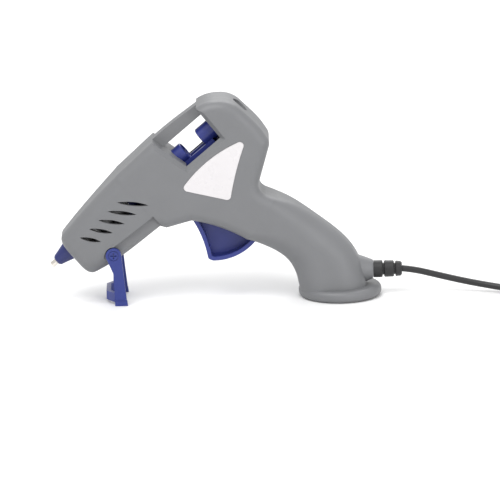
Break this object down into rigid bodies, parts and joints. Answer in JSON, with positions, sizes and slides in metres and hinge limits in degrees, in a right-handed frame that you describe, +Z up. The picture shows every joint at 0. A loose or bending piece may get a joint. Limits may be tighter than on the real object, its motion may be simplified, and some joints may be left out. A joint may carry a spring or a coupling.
{
  "type": "hot glue gun",
  "caption": "Electric hot glue gun for 7 mm sticks, with a hinged trigger that feeds the stick, a flat foot, a folding stand and a coiled mains cord.",
  "frame": {"origin": "centre of the foot's flat underside", "axes": "+Z up from the floor the gun stands on; -X towards the nozzle; the housing's two halves part on the X-Z plane"},
  "size_m": [0.3497, 0.0559, 0.1027],
  "materials": {
    "grey_housing": "fine satin moulding, cool light grey",
    "white_label": "plain printed label plate, no lettering",
    "zinc_steel": "zinc-plated screws",
    "nozzle_metal": "bright plated brass nozzle",
    "blue_rubber": "dark blue silicone",
    "cast_aluminium": "die-cast, slightly dull",
    "amber_film": "thin polyimide film",
    "brass_contact": "stamped brass strip",
    "ceramic_pill": "dark ceramic",
    "steel_pin": "bright drawn steel",
    "blue_plastic": "satin dark blue moulding",
    "jaw_steel": "stamped steel, toothed",
    "blue_stand": "dark blue moulding",
    "stand_pin_steel": "dark blue push-in rivet",
    "black_rubber": "soft black",
    "cord_jacket": "black flexible jacket",
    "clamp_plastic": "black fibre board",
    "brown_lead": "brown insulated lead",
    "blue_lead": "blue insulated lead",
    "tie_plastic": "black strap",
    "plug_black": "moulded-on black plug",
    "plug_nickel": "nickel-plated pins"
  },
  "bodies": {
    "body": {"housing_left": "grey_housing", "housing_right": "grey_housing", "badge_left": "white_label", "badge_right": "white_label", "housing_screws": "zinc_steel", "nozzle_tip": "nozzle_metal", "nozzle_cap": "blue_rubber", "melt_chamber": "cast_aluminium", "insulation_film": "amber_film", "contact_plate_live": "brass_contact", "contact_plate_neutral": "brass_contact", "ptc_heater": "ceramic_pill", "heater_clip": "cast_aluminium", "inlet_sleeve": "blue_rubber", "sleeve_ring": "steel_pin", "trigger_pin": "steel_pin", "strain_relief": "black_rubber", "cord_core": "cord_jacket", "cord_clamp": "clamp_plastic", "clamp_screws": "zinc_steel", "lead_live": "brown_lead", "lead_neutral": "blue_lead", "power_cord": "cord_jacket", "cord_coil": "cord_jacket", "cord_tail": "cord_jacket", "cord_tie": "tie_plastic", "plug_body": "plug_black", "plug_pins": "plug_nickel"},
    "trigger": {"trigger": "blue_plastic", "trigger_spring": "steel_pin"},
    "carriage": {"feed_carriage": "blue_plastic", "drive_pin": "steel_pin", "jaw_pin": "steel_pin"},
    "jaw": {"gripper_jaw": "jaw_steel"},
    "stand": {"stand": "blue_stand", "stand_pins": "stand_pin_steel"}
  },
  "joints": [
    {"name": "trigger_pivot", "type": "hinge", "parent": "body", "child": "trigger", "pos_m": [-0.0625, 0, 0.0474], "axis": [0, -1, 0], "range_deg": [0, 22], "stiffness_Nm_per_rad": 0.35, "springref_deg": -20.05},
    {"name": "carriage_slide", "type": "slide", "parent": "body", "child": "carriage", "axis": [-0.766, 0, -0.6428], "range_m": [0, 0.0082]},
    {"name": "jaw_hinge", "type": "hinge", "parent": "carriage", "child": "jaw", "pos_m": [-0.06573, 0, 0.07487], "axis": [0, 1, 0], "range_deg": [0, 8.1]},
    {"name": "stand_hinge", "type": "hinge", "parent": "body", "child": "stand", "pos_m": [-0.1127, 0, 0.02567], "axis": [0, -1, 0], "range_deg": [0, 105]}
  ],
  "couplings": [
    {"joint": "carriage_slide", "follows": "trigger_pivot", "m_per_rad": 0.0207},
    {"joint": "jaw_hinge", "follows": "trigger_pivot", "ratio": 0.36}
  ]
}
